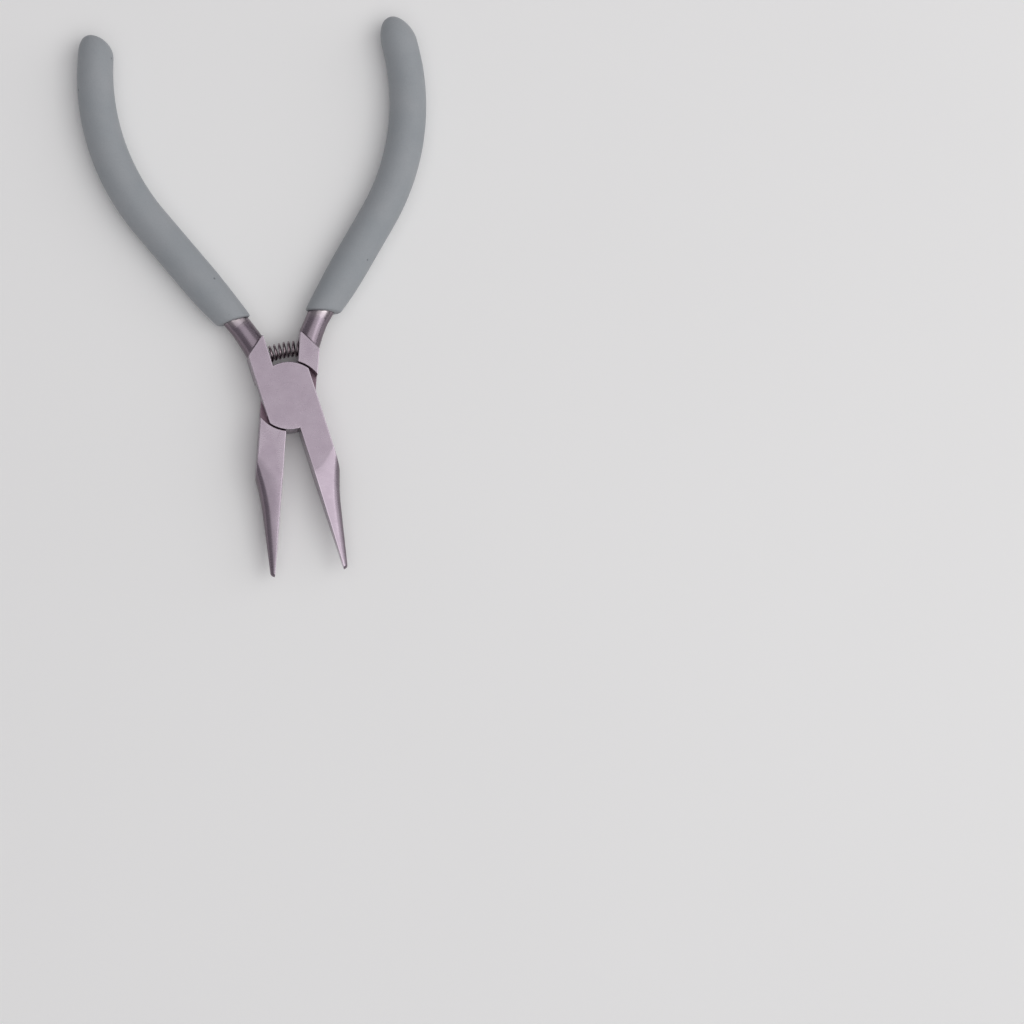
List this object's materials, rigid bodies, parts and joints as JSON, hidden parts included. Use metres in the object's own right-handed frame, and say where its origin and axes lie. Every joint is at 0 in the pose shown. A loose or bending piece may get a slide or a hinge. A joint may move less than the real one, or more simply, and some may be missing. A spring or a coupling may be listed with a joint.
{
  "type": "chain nose pliers",
  "caption": "Small spring-opened jewellery pliers with long tapering jaws, flat inside and half round outside, and soft grey handle sleeves.",
  "frame": {"origin": "where the pivot axis meets the flat back of the joint, on the flush end of the rivet", "axes": "+Y along the middle line to the jaw tips, +Z square out of the front face of the joint, +X towards the front lever's handle"},
  "size_m": [0.0779, 0.1256, 0.0084],
  "materials": {
    "lever_steel": "fine ground satin",
    "spring_wire": "drawn wire",
    "soft_sleeve": "matte, very fine grain"
  },
  "bodies": {
    "front_half": {"front_lever": "lever_steel", "front_grip": "soft_sleeve", "pivot_rivet": "lever_steel", "return_spring": "spring_wire"},
    "rear_half": {"rear_lever": "lever_steel", "rear_grip": "soft_sleeve"}
  },
  "joints": [
    {"name": "pivot", "type": "hinge", "parent": "front_half", "child": "rear_half", "pos_m": [0, 0, 0.0036], "axis": [0, 0, -1], "range_deg": [-21.8, 9], "stiffness_Nm_per_rad": 0.32, "deforming": ["return_spring"]}
  ]
}
